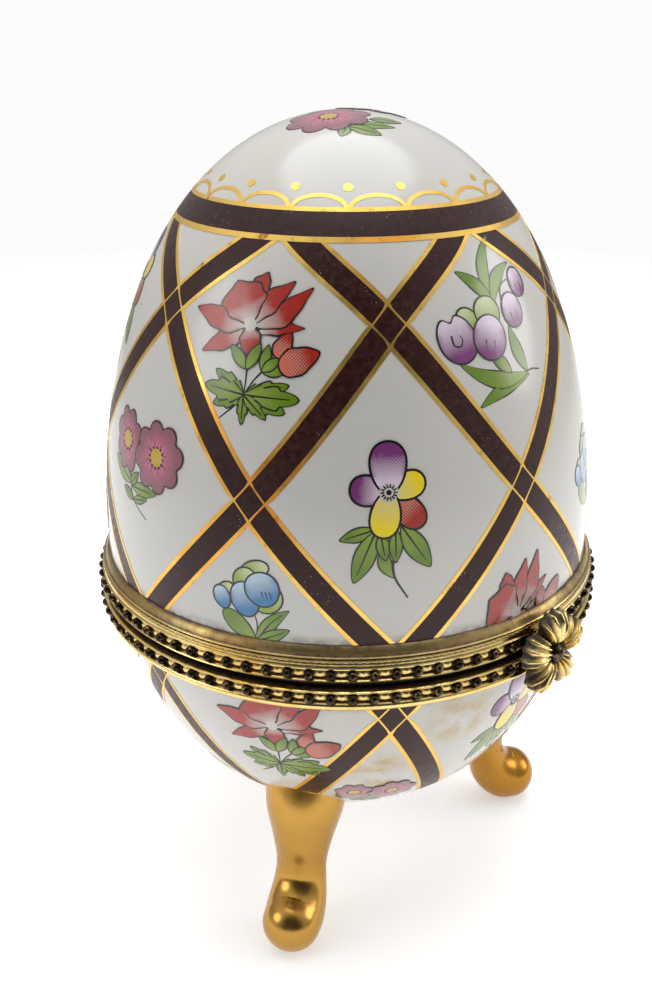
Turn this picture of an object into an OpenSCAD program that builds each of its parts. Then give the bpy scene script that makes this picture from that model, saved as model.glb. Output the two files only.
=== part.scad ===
// Footed porcelain egg trinket box: two porcelain shells in brass bezels, a
// rear hinge, a sprung flower clasp and three gilded feet.
// +Z is up, the feet stand on Z = 0, the egg's axis is the Z axis, the clasp
// faces -Y and the hinge is at +Y. Millimetres.

/* [Egg] */
// Largest diameter of the porcelain egg
egg_d = 66; // [60:1:76]
// Height of the porcelain egg, pole to pole
egg_h = 96.2; // [90:0.2:108]
// How much the egg narrows from its blunt lower end to its upper end
egg_taper = -0.098; // [-0.12:0.002:-0.06]
// How much the two ends fill out
egg_fullness = 0.107; // [0.08:0.001:0.13]
// Porcelain wall thickness
wall = 2.4; // [2:0.1:3]
// Clear height of the egg above the table
egg_lift = 11.9; // [11:0.1:14]

/* [Bezels] */
// Height of the parting plane above the table
parting_z = 46.5; // [46:0.1:48]
// Height of the lid's bezel
lid_bezel_h = 4.9; // [4.7:0.1:5.2]
// Height of the base's bezel
base_bezel_h = 3.9; // [3.7:0.1:4.1]
// Radius of the beaded wires
bead_r = 0.55; // [0.45:0.05:0.55]
// Gap between the two bezels' flanges
parting_gap = 0.1; // [0.06:0.02:0.2]

/* [Hinge] */
// Opening angle that the hinge's stop allows, in degrees
open_angle = 65; // [56:1:75]
// Width of the whole hinge
hinge_w = 13; // [11:0.5:15]
// Radius of the hinge knuckles
knuckle_r = 1.35; // [1.2:0.05:1.5]
// Radius of the hinge pin
pin_r = 0.6; // [0.5:0.05:0.7]

/* [Clasp] */
// Diameter across the clasp flower's petals
flower_d = 10.6; // [9:0.2:12]
// Width of the spring tongue
tongue_w = 4; // [3:0.2:5]
// Radius of the catch stud
stud_r = 0.6; // [0.5:0.05:0.8]
// Depth of the flower from its back to its petals' edges
flower_t = 2.2; // [1.8:0.1:2.6]

/* [Feet] */
// Distance of each foot's sole from the egg's axis
foot_reach = 26; // [24:0.5:28]
// Radius of each foot's rounded toe
toe_r = 3.95; // [3.5:0.05:4.4]

/* [Hidden] */

porcelain = "ivory";
gilt = "goldenrod";
brass = "darkkhaki";
blackened = "dimgray";
plaster = "tan";

$fn = 72;
egg_mid = egg_lift + egg_h / 2;      // height of the egg's middle
segments = 60;                       // facets along a whole meridian
flange = 0.55;                       // thickness of the bezels' flat flanges
bond = 0.2;                          // cement between porcelain and flange
skirt = 0.6;                         // thickness of the bezels' outer walls
collar_r = egg_d / 2 - 3.8;          // inside radius of the bezels' collars
collar_t = 0.4;                      // thickness of the collars
collar_h = 3;                        // height of the collars
wall_r = egg_d / 2 + 0.9;            // bezel wall that the beads sit against
rail_r = wall_r + 0.6;               // the plain rails beside the beads
solder = 0.02;                       // solder film under the beaded wires
bead_ring_r = wall_r + bead_r + solder; // centre line of the beaded wires
bead_rise = 1.6;                     // beads' distance from the parting plane
trim_r = bead_ring_r + bead_r;       // outermost radius of bezels and beads

leaf_r = trim_r + 0.05;              // inner radius of the hinge leaves
leaf_t = 0.7;                        // thickness of the hinge leaves
leaf_clear = 0.15;                   // running gap beside and around knuckles
hinge_y = trim_r + 1.5;              // hinge axis, behind the bezels
pin_clear = 0.05;                    // radial running clearance of the pin
lid_knuckle_w = hinge_w * 0.38;      // the middle knuckle, on the lid
lug_t = 0.8;                         // thickness of the opening stop's lug
lug_reach = 2.1;                     // the lug's tip, from the hinge axis
stop_gap = 0.04;                     // left between lug and pad at full opening
pad_top = knuckle_r + leaf_clear;    // top of the stop pad below the axis

tongue_t = 0.4;                      // thickness of the spring tongue
tongue_y = -(trim_r + 0.1);          // inner face of the tongue
tongue_top = parting_z + 3.4;        // soldered end, where the tongue flexes
root_y = -(wall_r + 0.3);            // its root, against the lid's bezel
tongue_foot = parting_z - 4.4;       // free end
stud_z = parting_z - 3.05;           // height of the catch stud
flower_r = flower_d / 2;
petal_r = flower_r * 0.4;
rivet_r = 0.7;
eye_depth = 1.2;                     // depth of the flower's eye
head_r = 1.3;                        // the rivet's domed head

// Radius of an egg of diameter d and height h at height z above its middle.
function egg_radius(z, d, h) =
    let (u = z / (h / 2))
    d / 2 * sqrt(max(0, 1 - u * u))
          * (1 + egg_taper * u + egg_fullness * u * u);

// Meridian points of that egg, from height za to height zb.
function meridian(za, zb, d, h) =
    let (a = asin(max(-1, (za - egg_mid) / (h / 2))),
         b = asin(min(1, (zb - egg_mid) / (h / 2))),
         n = ceil(segments * abs(b - a) / 180))
    [for (i = [0 : n]) let (z = h / 2 * sin(a + (b - a) * i / n))
        [egg_radius(z, d, h), egg_mid + z]];

function outer(za, zb) = meridian(za, zb, egg_d, egg_h);
function inner(za, zb) = meridian(za, zb, egg_d - 2 * wall, egg_h - 2 * wall);

lid_rim = parting_z + parting_gap / 2 + flange + bond;
base_rim = parting_z - parting_gap / 2 - flange - bond;
egg_top = egg_mid + egg_h / 2;
egg_bottom = egg_mid - egg_h / 2;

// ---- porcelain ----

module lid_shell() {
    color(porcelain)
    rotate_extrude()
    polygon(concat(outer(lid_rim, egg_top), inner(egg_top - wall, lid_rim)));
}

module base_shell() {
    color(porcelain)
    rotate_extrude()
    polygon(concat(outer(egg_bottom, base_rim), inner(base_rim, egg_bottom + wall)));
}

// One stretch of a leg: a blend of two balls, each [radius, distance out, height].
module leg_stretch(a, b) {
    hull()
    for (ball = [a, b])
        translate([0, -ball[1], ball[2]]) sphere(ball[0], $fn = 28);
}

// A leg turned to azimuth a: a swelling knee fitted to the egg, a slim ankle
// and a rounded toe with a flat sole, which points outwards.
module foot(a) {
    spine = [[5.8, foot_reach - 5.8, 21.5], [4.6, foot_reach - 4.2, 15],
             [3.5, foot_reach - 2.9, 9.6], [toe_r, foot_reach - 1.2, toe_r + 0.5],
             [toe_r, foot_reach + 1.4, toe_r - 0.25]];
    color(gilt)
    rotate([0, 0, a])
    difference() {
        for (i = [0 : len(spine) - 2]) leg_stretch(spine[i], spine[i + 1]);
        rotate_extrude()
            polygon(concat(outer(egg_bottom, base_rim), [[0, base_rim]]));
        translate([-20, -50, -10]) cube([40, 50, 10]);
    }
}

// ---- bezels, as outlines of [radius, distance from the parting plane] ----

module ring(points, side) {
    rotate_extrude()
    polygon([for (p = points) [p[0], parting_z + side * p[1]]]);
}

// Flange, collar and lip rail, which the two bezels share.
function bezel_lip() =
    [[collar_r, collar_h], [collar_r, parting_gap / 2],
     [wall_r - 0.1, parting_gap / 2], [wall_r - 0.1, 0.42],
     [rail_r - 0.2, 0.42], [rail_r, 0.6], [rail_r, 0.85],
     [rail_r - 0.2, 1.02], [wall_r, bead_rise - bead_r]];

function channel(skirt_top) =
    [[skirt_top[0], skirt_top[1]],
     [wall_r - skirt, parting_gap / 2 + flange],
     [collar_r + collar_t, parting_gap / 2 + flange],
     [collar_r + collar_t, collar_h]];

lid_skirt_top = [wall_r - skirt, lid_bezel_h];
base_skirt_top = [wall_r - skirt - 0.65, base_bezel_h];   // follows the egg's taper

module lid_bezel() {
    color(brass)
    ring(concat(bezel_lip(),
                [[wall_r, bead_rise + bead_r], [rail_r - 0.1, 2.2],
                 [rail_r - 0.1, 2.5], [wall_r + 0.25, 2.8], [wall_r, 3.0],
                 [wall_r + 0.15, 3.25], [wall_r - 0.1, 3.7],
                 [wall_r - 0.28, lid_bezel_h]],
                channel(lid_skirt_top)), 1);
}

module base_bezel() {
    color(brass)
    ring(concat(bezel_lip(),
                [[wall_r, bead_rise + bead_r], [rail_r - 0.1, 2.3],
                 [rail_r, 2.6], [rail_r, 2.9], [rail_r - 0.3, 3.4],
                 [wall_r - 0.7, base_bezel_h]],
                channel(base_skirt_top)), -1);
}

// Cement that fills a bezel's channel around the porcelain rim. It keeps a
// hair's breadth off both, so that the three solids stay separate.
module cement(skirt_top, side) {
    hair = 0.02;
    rim = (side > 0) ? lid_rim : base_rim;
    top = parting_z + side * (collar_h - 0.1);
    skirt_z = parting_z + side * (skirt_top[1] - 0.1);
    floor_z = parting_z + side * (parting_gap / 2 + flange + hair);
    out_line = outer(min(rim, skirt_z), max(rim, skirt_z));
    in_line = inner(min(rim, top), max(rim, top));
    out_up = (side > 0) ? out_line : [for (i = [len(out_line) - 1 : -1 : 0]) out_line[i]];
    in_down = (side > 0) ? [for (i = [len(in_line) - 1 : -1 : 0]) in_line[i]] : in_line;
    color(plaster)
    rotate_extrude()
    polygon(concat(
        [[collar_r + collar_t + hair, top]],
        [for (p = in_down) [p[0] - hair, p[1] - side * hair]],
        [for (p = out_up) [p[0] + hair, p[1] - side * hair]],
        [[skirt_top[0] - hair, skirt_z], [wall_r - skirt - hair, floor_z],
         [collar_r + collar_t + hair, floor_z]]));
}

module beaded_wire(side) {
    color(blackened)
    translate([0, 0, parting_z + side * bead_rise])
    rotate_extrude()
    translate([bead_ring_r, 0]) circle(bead_r);
}

// ---- hinge ----

module along_hinge(x0, x1, r) {
    translate([x0, hinge_y, parting_z]) rotate([0, 90, 0]) cylinder(r = r, h = x1 - x0);
}

// A curved leaf that lies on the bezel between heights z0 and z1.
module leaf(z0, z1) {
    intersection() {
        translate([0, 0, z0]) difference() {
            cylinder(r = leaf_r + leaf_t, h = z1 - z0);
            translate([0, 0, -1]) cylinder(r = leaf_r, h = z1 - z0 + 2);
        }
        translate([-hinge_w / 2, 0, z0 - 1]) cube([hinge_w, egg_d, z1 - z0 + 2]);
    }
}

module lid_hinge_leaf() {
    half = lid_knuckle_w / 2;
    color(brass)
    difference() {
        union() {
            leaf(parting_z + 0.3, parting_z + lid_bezel_h - 0.8);
            along_hinge(-half, half, knuckle_r);
            translate([-1.5, hinge_y, parting_z - lug_t / 2])
                cube([3, lug_reach, lug_t]);
        }
        for (s = [-1, 1])
            along_hinge(s > 0 ? half : -hinge_w, s > 0 ? hinge_w : -half,
                        knuckle_r + 2 * leaf_clear);
        along_hinge(-hinge_w, hinge_w, pin_r + pin_clear);
    }
}

module base_hinge_leaf() {
    half = lid_knuckle_w / 2 + leaf_clear;
    pad_y = hinge_y + pad_top / tan(open_angle)
            - lug_t / 2 / sin(open_angle) - stop_gap;
    color(brass)
    difference() {
        union() {
            leaf(parting_z - base_bezel_h + 0.3, parting_z - 0.3);
            along_hinge(-hinge_w / 2, -half, knuckle_r);
            along_hinge(half, hinge_w / 2, knuckle_r);
            translate([-1.5, leaf_r + leaf_t / 2, parting_z - base_bezel_h + 0.7])
                cube([3, pad_y - leaf_r - leaf_t / 2, base_bezel_h - 0.7 - pad_top]);
        }
        along_hinge(-half, half, knuckle_r + leaf_clear);
        along_hinge(-hinge_w, hinge_w, pin_r + 0.02);
    }
}

// The pin and its two peened heads.
module hinge_pin() {
    color(brass) {
        along_hinge(-hinge_w / 2 - 0.05, hinge_w / 2 + 0.05, pin_r);
        for (s = [-1, 1])
            translate([s * (hinge_w / 2 + 0.05), hinge_y, parting_z])
                intersection() {
                    sphere(pin_r * 1.5);
                    translate([s * 2 - 2, -2, -2]) cube([4, 4, 4]);
                }
    }
}

// ---- clasp ----

// A disc of radius r and depth h whose back is at y, facing -Y.
module disc_y(x, y, z, r, h) {
    translate([x, y, z]) rotate([90, 0, 0]) cylinder(r = r, h = h);
}

module clasp_tongue() {
    color(brass)
    difference() {
        union() {
            translate([-tongue_w / 2, tongue_y - tongue_t, tongue_foot])
                cube([tongue_w, tongue_t, tongue_top - tongue_foot]);
            translate([-tongue_w / 2, tongue_y - tongue_t, tongue_top - tongue_t])
                cube([tongue_w, root_y - tongue_y + tongue_t, tongue_t]);
        }
        disc_y(0, tongue_y + 1, stud_z, stud_r + 0.15, 3);
        disc_y(0, tongue_y + 1, parting_z, rivet_r, 3);
    }
}

module clasp_flower() {
    back = tongue_y - tongue_t;
    color(brass)
    difference() {
        union() {
            disc_y(0, back, parting_z, flower_r * 0.5, flower_t - 0.3);
            for (i = [0 : 4]) {
                a = 90 + 72 * i;
                disc_y((flower_r - petal_r) * cos(a), back,
                       parting_z + (flower_r - petal_r) * sin(a), petal_r, flower_t);
            }
        }
        disc_y(0, back + 1, parting_z, rivet_r, 4);
        disc_y(0, back - flower_t + eye_depth, parting_z, head_r + 0.15, 3);
        disc_y(0, back + 0.01, stud_z, stud_r + 0.15, 0.9);
    }
}

// Shank through flower and tongue, with a domed head in the flower's eye.
module clasp_rivet() {
    seat = tongue_y - tongue_t - flower_t + eye_depth;
    color(blackened) {
        disc_y(0, tongue_y, parting_z, rivet_r - 0.02, tongue_y - seat);
        translate([0, seat, parting_z]) intersection() {
            sphere(head_r);
            translate([-2, -4, -2]) cube([4, 4, 4]);
        }
    }
}

// Stud on the base's lower rail, which the tongue's hole snaps over.
module catch_stud() {
    color(brass)
    difference() {
        disc_y(0, -wall_r, stud_z, stud_r, trim_r + 0.8 - wall_r);
        translate([0, 0, stud_z - 2]) cylinder(r = rail_r + 0.01, h = 4);
    }
}

base_shell();
foot(-60);  // foot_left
foot(60);  // foot_right
foot(180);  // foot_back
cement(base_skirt_top, -1);  // base_cement
base_bezel();
beaded_wire(-1);  // base_beaded_wire
base_hinge_leaf();
hinge_pin();
catch_stud();
lid_shell();
cement(lid_skirt_top, 1);  // lid_cement
lid_bezel();
beaded_wire(1);  // lid_beaded_wire
lid_hinge_leaf();
clasp_tongue();
clasp_flower();
clasp_rivet();
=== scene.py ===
"""Footed porcelain egg trinket box: glazed shells with printed lattice and flower
sprays, gilded feet, tarnished brass bezels with beads, rear hinge, flower clasp."""

import math

import bmesh
import bpy
from bpy.props import FloatProperty, FloatVectorProperty, IntProperty, PointerProperty
from mathutils import Matrix, Vector


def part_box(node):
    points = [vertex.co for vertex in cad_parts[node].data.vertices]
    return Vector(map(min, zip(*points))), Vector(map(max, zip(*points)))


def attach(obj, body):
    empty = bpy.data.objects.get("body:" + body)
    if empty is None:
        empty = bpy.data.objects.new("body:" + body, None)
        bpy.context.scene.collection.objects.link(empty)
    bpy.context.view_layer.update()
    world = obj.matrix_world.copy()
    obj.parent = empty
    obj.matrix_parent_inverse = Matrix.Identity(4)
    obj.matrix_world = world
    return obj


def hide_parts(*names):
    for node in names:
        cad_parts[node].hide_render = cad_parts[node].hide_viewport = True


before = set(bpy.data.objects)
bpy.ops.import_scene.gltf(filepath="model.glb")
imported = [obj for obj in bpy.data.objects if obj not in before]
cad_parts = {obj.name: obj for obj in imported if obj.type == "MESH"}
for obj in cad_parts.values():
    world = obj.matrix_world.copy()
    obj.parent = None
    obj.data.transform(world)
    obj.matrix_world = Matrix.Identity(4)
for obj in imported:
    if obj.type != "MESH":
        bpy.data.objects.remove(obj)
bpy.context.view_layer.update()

bl_info = {
    "name": "Porcelain egg trinket box",
    "version": (1, 0, 0),
    "blender": (4, 5, 0),
    "location": "3D View > Sidebar > Egg box",
    "description": "Builds a footed porcelain egg trinket box around its packed frame",
    "category": "Object",
}

MM = 0.001
TURN = 2 * math.pi

# The egg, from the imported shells
EGG_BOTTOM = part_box("base_shell")[0].z
EGG_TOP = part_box("lid_shell")[1].z
EGG_MID = (EGG_BOTTOM + EGG_TOP) / 2
EGG_HALF = (EGG_TOP - EGG_BOTTOM) / 2
EGG_R = 33 * MM
EGG_TAPER = -0.098
EGG_FULLNESS = 0.107
WALL = 2.4 * MM
SHELL_STEPS = 224
RING_STEPS = 180
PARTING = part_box("lid_bezel")[0].z - 0.05 * MM
LID_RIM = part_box("lid_shell")[0].z
BASE_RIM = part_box("base_shell")[1].z
LID_BEZEL_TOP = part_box("lid_bezel")[1].z
BASE_BEZEL_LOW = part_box("base_bezel")[0].z

# The printed lattice: heights of its rows of crossings above the egg's middle, in egg
# radii. From row to row a band goes half a cell round, in STRIP_STEPS steps. On the base
# the bands that lean right are the steeper ones. Gold lines thin out near a crossing.
LID_ROWS = (1.15, 0.832, 0.245, -0.35, -0.95)
BASE_ROWS = (1.4, 0.7, 0.05, -0.60, -1.23, -1.5)
STEEP_BASE_ROWS = (1.4, 0.7, 0.12, -0.60, -1.45, -1.9)
LATTICE_CELLS = 6
STRIP_STEPS = 46
CROSSING_REACH = 0.085
CROSSING_THINNING = 0.58
LATTICE_PHASE = math.radians(-34)
CROWN_BAND = (1.093, 1.170)
CROWN_DOTS = 1.24
FIRST_DOT = math.radians(-43.5)
FOOT_LINE = -1.29

# How far the print runs under a bezel
TUCK = 1.2 * MM

# Heights of the printed layers above the glaze, in millimetres
BAND_LIFT = 0.025
GOLD_LIFT = 0.045
SPRAY_LIFT = 0.015
LAYER_STEP = 0.0035
PRINT_DEPTH = 0.05

# Grime along the bezels, and the near-black painted shade of the gap between them
GRIME = (0.16, 0.11, 0.065)
GRIME_REACH = 1.3 * MM
PAINTED_GAP_SHADE = (0.003, 0.002, 0.0015)

# Tea stains: angle in degrees, height in egg radii and reach in metres of each
TEA = (0.50, 0.33, 0.09)
STAINS = ((-37, -0.89, 0.0048), (-17, -0.66, 0.0058), (-35, -1.02, 0.004))

# The halftone runs diagonally, so its waves are stretched by this
SCREEN_STRETCH = 0.7

# Distances from the axis over which the floor fades out, in metres
FLOOR_FADE = (0.16, 0.5)


def linear(red, green, blue):
    """Scene-linear colour of a display colour in 0 to 255."""
    def channel(value):
        v = value / 255
        return v / 12.92 if v <= 0.04045 else ((v + 0.055) / 1.055) ** 2.4
    return (channel(red), channel(green), channel(blue))


# ---- the egg's surface ----

def egg_radius(z, inset=0.0):
    """Radius at height z of the egg, or of the egg that lies inset inside it."""
    u = (z - EGG_MID) / (EGG_HALF - inset)
    u = max(-1.0, min(1.0, u))
    return (EGG_R - inset) * math.sqrt(1 - u * u) * (1 + EGG_TAPER * u + EGG_FULLNESS * u * u)


def meridian(low, high, steps, inset=0.0):
    """Points (radius, z) of the egg's outline from low to high, evenly round the curve."""
    half = EGG_HALF - inset
    a = math.asin(max(-1.0, (low - EGG_MID) / half))
    b = math.asin(min(1.0, (high - EGG_MID) / half))
    heights = [EGG_MID + half * math.sin(a + (b - a) * i / steps) for i in range(steps + 1)]
    return [(egg_radius(z, inset), z) for z in heights]


ARC_STEPS = 1600
ARC_POINTS = meridian(EGG_BOTTOM, EGG_TOP, ARC_STEPS)
ARC_LENGTHS = [0.0]
for (r0, z0), (r1, z1) in zip(ARC_POINTS, ARC_POINTS[1:]):
    ARC_LENGTHS.append(ARC_LENGTHS[-1] + math.hypot(r1 - r0, z1 - z0))


def interpolate(value, xs, ys):
    """ys at value, where xs rises."""
    low, high = 0, len(xs) - 1
    value = max(xs[0], min(xs[-1], value))
    while high - low > 1:
        middle = (low + high) // 2
        if xs[middle] <= value:
            low = middle
        else:
            high = middle
    share = (value - xs[low]) / (xs[high] - xs[low])
    return ys[low] + share * (ys[high] - ys[low])


ARC_HEIGHTS = [z for r, z in ARC_POINTS]


def arc_at(z):
    return interpolate(z, ARC_HEIGHTS, ARC_LENGTHS)


def height_at(arc):
    return interpolate(arc, ARC_LENGTHS, ARC_HEIGHTS)


def egg_normal(angle, z):
    step = 0.05 * MM
    slope = (egg_radius(z + step) - egg_radius(z - step)) / (2 * step)
    length = math.hypot(1, slope)
    return Vector((math.sin(angle) / length, -math.cos(angle) / length, -slope / length))


def on_egg(angle, z, lift=0.0):
    """Point above the glaze. The angle runs from the clasp towards the right."""
    r = egg_radius(z)
    return Vector((r * math.sin(angle), -r * math.cos(angle), z)) + egg_normal(angle, z) * lift


def row_height(row, rows):
    """Height of a lattice row, smooth between whole rows."""
    i = max(0, min(len(rows) - 2, int(math.floor(row))))
    t = row - i
    before = rows[i - 1] if i > 0 else 2 * rows[0] - rows[1]
    after = rows[i + 2] if i + 2 < len(rows) else 2 * rows[-1] - rows[-2]
    a, b = rows[i], rows[i + 1]
    slope_a, slope_b = (b - before) / 2, (after - a) / 2
    value = ((2 * t ** 3 - 3 * t ** 2 + 1) * a + (t ** 3 - 2 * t ** 2 + t) * slope_a
             + (3 * t ** 2 - 2 * t ** 3) * b + (t ** 3 - t ** 2) * slope_b)
    return EGG_MID + value * EGG_R


def row_at(z, rows):
    """Lattice row at height z."""
    low, high = 0.0, len(rows) - 1.0
    for _ in range(30):
        middle = (low + high) / 2
        if row_height(middle, rows) > z:
            low = middle
        else:
            high = middle
    return low


def curve_point(points, along):
    """Catmull-Rom point at a share of the way along the points."""
    spans = len(points) - 1
    i = min(spans - 1, int(along * spans))
    t = along * spans - i
    p1, p2 = points[i], points[i + 1]
    p0 = points[i - 1] if i else 2 * p1 - p2
    p3 = points[i + 2] if i + 2 <= spans else 2 * p2 - p1
    return 0.5 * (2 * p1 + (p2 - p0) * t + (2 * p0 - 5 * p1 + 4 * p2 - p3) * t * t
                  + (3 * p1 - p0 - 3 * p2 + p3) * t ** 3)


def around(angle):
    """The flat direction at an angle."""
    return Vector((math.cos(angle), math.sin(angle)))


# ---- meshes ----

def finish_piece(mesh, name, material, body, replaced=(), sharp=40):
    """Makes the finished object of a bmesh, which rides on body and takes the named material."""
    data = bpy.data.meshes.new(name)
    mesh.to_mesh(data)
    mesh.free()
    for polygon in data.polygons:
        polygon.use_smooth = True
    if sharp:
        data.set_sharp_from_angle(angle=math.radians(sharp))
    piece = bpy.data.objects.new(name, data)
    bpy.context.scene.collection.objects.link(piece)
    data.materials.append(finish(material))
    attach(piece, body)
    if replaced:
        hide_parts(*replaced)
    return piece


def join(mesh, part):
    """Adds a finished part to a mesh."""
    data = bpy.data.meshes.new("part")
    part.to_mesh(data)
    part.free()
    mesh.from_mesh(data)
    bpy.data.meshes.remove(data)


def spin_outline(outline, steps, closed=True, hollows=()):
    """A new mesh lathed from an outline of (radius, z) about the Z axis."""
    mesh = bmesh.new()
    layer = mesh.verts.layers.float.new("Hollow") if hollows else None
    verts = [mesh.verts.new((r, 0, z)) for r, z in outline]
    for vert, hollow in zip(verts, hollows):
        vert[layer] = hollow
    edges = [mesh.edges.new(pair) for pair in zip(verts, verts[1:])]
    if closed:
        edges.append(mesh.edges.new((verts[-1], verts[0])))
    bmesh.ops.spin(mesh, geom=verts + edges, cent=(0, 0, 0), axis=(0, 0, 1), dvec=(0, 0, 0),
                   angle=TURN, steps=steps, use_merge=True)
    return mesh


def cut_level(mesh, level, keep_below):
    """Cuts a closed mesh at height level and closes the cut."""
    bmesh.ops.bisect_plane(mesh, geom=mesh.verts[:] + mesh.edges[:] + mesh.faces[:], dist=1e-7,
                           plane_co=(0, 0, level), plane_no=(0, 0, 1),
                           clear_inner=not keep_below, clear_outer=keep_below)
    rims = [edge for edge in mesh.edges if edge.is_boundary]
    if rims:
        bmesh.ops.holes_fill(mesh, edges=rims, sides=0)


def weld(mesh, distance=1e-6):
    bmesh.ops.remove_doubles(mesh, verts=mesh.verts, dist=distance)
    bmesh.ops.recalc_face_normals(mesh, faces=mesh.faces)


# ---- materials ----

def add_node(owner, kind, **values):
    """A node with its settings, and its inputs by name or by number in a dict."""
    node = owner.node_tree.nodes.new(kind)
    inputs = values.pop("inputs", {})
    for key, value in values.items():
        setattr(node, key, value)
    for key, value in inputs.items():
        if hasattr(value, "is_output"):
            owner.node_tree.links.new(value, node.inputs[key])
        else:
            node.inputs[key].default_value = value
    return node


def shades(colour, *factors):
    """A colour with each channel scaled."""
    return tuple(c * f for c, f in zip(colour, factors))


class Recipe:
    """A node material with one Principled shader, and short ways to add its nodes."""

    def __init__(self, name):
        self.material = bpy.data.materials.new(name)
        self.material.use_nodes = True
        self.material.node_tree.nodes.clear()
        self.shader = self.node("ShaderNodeBsdfPrincipled")
        self.node("ShaderNodeOutputMaterial", inputs={0: self.shader.outputs[0]})

    def node(self, kind, **values):
        return add_node(self.material, kind, **values)

    def place(self):
        return self.node("ShaderNodeTexCoord").outputs["Object"]

    def parts(self, place=None):
        """X, Y and Z of a place, of the Object coordinates if none is given."""
        return self.node("ShaderNodeSeparateXYZ", inputs={0: place or self.place()}).outputs

    def cloud(self, scale, detail=4.0, roughness=0.55):
        """Soft noise between 0 and 1 on Object coordinates."""
        inputs = {"Vector": self.place(), "Scale": scale, "Detail": detail, "Roughness": roughness}
        return self.node("ShaderNodeTexNoise", inputs=inputs).outputs["Fac"]

    def spots(self, scale, small, large):
        """Round spots, 1 inside and 0 outside."""
        inputs = {"Vector": self.place(), "Scale": scale}
        away = self.node("ShaderNodeTexVoronoi", inputs=inputs).outputs["Distance"]
        return self.remap(away, small, large, 1, 0)

    def remap(self, value, low, high, to_low=0.0, to_high=1.0):
        inputs = {"Value": value, "From Min": low, "From Max": high, "To Min": to_low,
                  "To Max": to_high}
        return self.node("ShaderNodeMapRange", inputs=inputs).outputs["Result"]

    def maths(self, operation, first, second=0.0):
        return self.node("ShaderNodeMath", operation=operation,
                         inputs={0: first, 1: second}).outputs[0]

    def times(self, first, second):
        return self.maths("MULTIPLY", first, second)

    def blend(self, share, first, second, **settings):
        """Mixes two colours, each a tuple or a socket."""
        inputs = {0: share}
        for index, colour in ((6, first), (7, second)):
            inputs[index] = colour if hasattr(colour, "is_output") else (*colour[:3], 1)
        return self.node("ShaderNodeMix", data_type="RGBA", inputs=inputs, **settings).outputs[2]

    def bump(self, height, distance, strength=1.0, previous=None):
        inputs = {"Height": height, "Distance": distance, "Strength": strength}
        if previous:
            inputs["Normal"] = previous
        normal = self.node("ShaderNodeBump", inputs=inputs).outputs[0]
        self.link(normal, "Normal")
        return normal

    def link(self, socket, name):
        self.material.node_tree.links.new(socket, self.shader.inputs[name])

    def set(self, **constants):
        """Shader constants, with the spaces of their names as underscores."""
        for name, value in constants.items():
            self.shader.inputs[name.replace("_", " ")].default_value = value


def glazed_porcelain(look):
    """White body under a clear glaze: faint grey-lilac clouding, iron specks, ripples."""
    mix = Recipe("glazed_porcelain")
    white = tuple(look.glaze_colour)
    shade = shades(white, 0.90, 0.91, 0.95)
    warm = shades(white, 0.97, 0.94, 0.87)
    colour = mix.blend(mix.remap(mix.cloud(26), 0.35, 0.7), white, shade)
    colour = mix.blend(mix.remap(mix.cloud(41, 6), 0.62, 0.78, 0, 0.5), colour, warm)
    rare = mix.remap(mix.cloud(300, 1), 0.66, 0.68)
    colour = mix.blend(mix.times(mix.spots(260.0, 0.045, 0.06), rare), colour, (0.12, 0.09, 0.07))
    middle, half = (LID_BEZEL_TOP + BASE_BEZEL_LOW) / 2, (LID_BEZEL_TOP - BASE_BEZEL_LOW) / 2
    apart = mix.maths("ABSOLUTE", mix.maths("SUBTRACT", mix.parts()["Z"], middle))
    grime = mix.times(mix.remap(apart, half, half + GRIME_REACH, 0.8, 0),
                      mix.remap(mix.cloud(420, 6, 0.7), 0.36, 0.62))
    colour = mix.blend(grime, colour, GRIME)
    wander = mix.remap(mix.cloud(260, 5), 0.4, 0.62)
    for turn, height, reach in STAINS:
        stain = on_egg(math.radians(turn), EGG_MID + height * EGG_R)
        away = mix.node("ShaderNodeVectorMath", operation="DISTANCE",
                        inputs={0: mix.place(), 1: stain}).outputs["Value"]
        share = mix.remap(away, reach * 0.2, reach, 0.95, 0)
        colour = mix.blend(mix.times(share, wander), colour, TEA)
    mix.link(colour, "Base Color")
    mix.link(mix.remap(mix.cloud(90, 5), 0.3, 0.7, 0.13, 0.24), "Roughness")
    mix.set(IOR=1.52, Coat_Weight=0.12, Coat_Roughness=0.1, Subsurface_Weight=0.06,
            Subsurface_Radius=(0.004, 0.003, 0.0025))
    ripple = mix.bump(mix.cloud(120, 2), 0.00006, 0.35)
    mix.bump(mix.cloud(2200, 2), 0.000006, 0.25, ripple)
    return mix.material


def maroon_enamel(look):
    """Dark red-brown print, mottled by its screen, with pale flecks painted as the glints of fine
    pits in the glaze.
    """
    mix = Recipe("maroon_enamel")
    base = tuple(look.band_colour)
    light = tuple(c * 1.35 + 0.004 for c in base)
    grain = mix.remap(mix.cloud(1500, 3, 0.7), 0.42, 0.64)
    colour = mix.blend(grain, base, light)
    clouds = mix.remap(mix.cloud(45, 3), 0.4, 0.7, 0, 0.4)
    colour = mix.blend(clouds, colour, shades(base, 0.5, 0.5, 0.5))
    # Pale flecks: painted glints of the fine pits in the glaze
    where = mix.remap(mix.cloud(160, 3), 0.53, 0.62)
    colour = mix.blend(mix.times(mix.spots(2600.0, 0.10, 0.16), where), colour, (0.42, 0.33, 0.32))
    mix.link(colour, "Base Color")
    mix.link(mix.remap(grain, 0, 1, 0.3, 0.5), "Roughness")
    mix.set(Specular_IOR_Level=0.3)
    mix.bump(mix.cloud(1500, 3, 0.7), 0.00002, 0.5)
    return mix.material


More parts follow.
